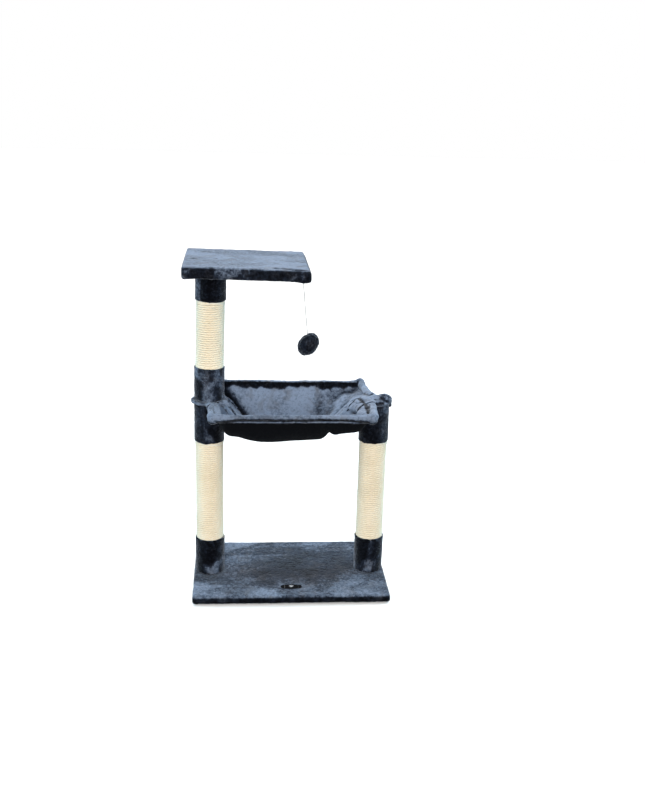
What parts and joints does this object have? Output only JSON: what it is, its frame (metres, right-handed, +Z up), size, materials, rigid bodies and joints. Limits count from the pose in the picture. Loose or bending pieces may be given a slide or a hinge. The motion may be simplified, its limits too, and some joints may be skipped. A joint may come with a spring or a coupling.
{
  "type": "cat tree",
  "caption": "Small plush-covered cat tree with sisal scratching posts, a slung hammock, a raised perch and a hanging plush ball.",
  "frame": {"origin": "middle of the base's underside", "axes": "+X to the right, from the tall post to the short one; +Y to the back; +Z up"},
  "size_m": [0.5234, 0.318, 0.8487],
  "materials": {
    "plush": "short slate blue plush, brushed",
    "sisal": "pale twisted sisal rope, matt",
    "board": "raw chipboard",
    "cardboard": "raw wound cardboard",
    "plug": "raw turned wood",
    "zinc": "bright zinc plate",
    "rod": "satin black",
    "liner": "matt non-woven cloth",
    "label": "woven satin label",
    "string": "thin twisted cord",
    "stuffing": "polyester wadding"
  },
  "bodies": {
    "tree": {"base_board": "board", "base_cover": "plush", "base_liner": "liner", "base_label": "label", "left_lower_tube": "cardboard", "left_lower_bottom_plug": "plug", "left_lower_bottom_insert": "zinc", "left_lower_top_plug": "plug", "left_lower_top_insert": "zinc", "left_lower_foot_sleeve": "plush", "left_lower_sisal": "sisal", "left_lower_head_sleeve": "plush", "left_upper_tube": "cardboard", "left_upper_bottom_plug": "plug", "left_upper_bottom_insert": "zinc", "left_upper_top_plug": "plug", "left_upper_top_insert": "zinc", "left_upper_foot_sleeve": "plush", "left_upper_sisal": "sisal", "left_upper_head_sleeve": "plush", "right_tube": "cardboard", "right_bottom_plug": "plug", "right_bottom_insert": "zinc", "right_top_plug": "plug", "right_top_insert": "zinc", "right_foot_sleeve": "plush", "right_sisal": "sisal", "right_head_sleeve": "plush", "left_lower_foot_bolt": "zinc", "left_lower_foot_washer": "zinc", "right_foot_bolt": "zinc", "right_foot_washer": "zinc", "left_joint_stud": "zinc", "right_top_bolt": "zinc", "right_top_washer": "zinc", "hammock_front_frame": "rod", "hammock_back_frame": "rod", "hammock_cloth": "plush", "hammock_left_tab": "plush", "hammock_right_tab": "plush", "perch_board": "board", "perch_cover": "plush", "perch_liner": "liner", "perch_bolt": "zinc", "perch_washer": "zinc", "toy_staple": "zinc"},
    "toy_loop": {"toy_loop": "string"},
    "toy_line": {"toy_string": "string"},
    "toy_ball": {"toy_ball_cover": "plush", "toy_ball_core": "stuffing"}
  },
  "joints": [
    {"name": "toy_swing_side", "type": "hinge", "parent": "tree", "child": "toy_loop", "pos_m": [0.01434, -0.104, 0.80996], "axis": [0, 1, 0], "range_deg": [-60, 60]},
    {"name": "toy_swing_front", "type": "hinge", "parent": "toy_loop", "child": "toy_line", "pos_m": [0.01434, -0.104, 0.80996], "axis": [0.9949, 0, 0.1011], "range_deg": [-60, 60]},
    {"name": "toy_spin", "type": "hinge", "parent": "toy_line", "child": "toy_ball", "pos_m": [0.01434, -0.104, 0.80996], "axis": [0.1011, 0, -0.9949], "continuous": true}
  ]
}
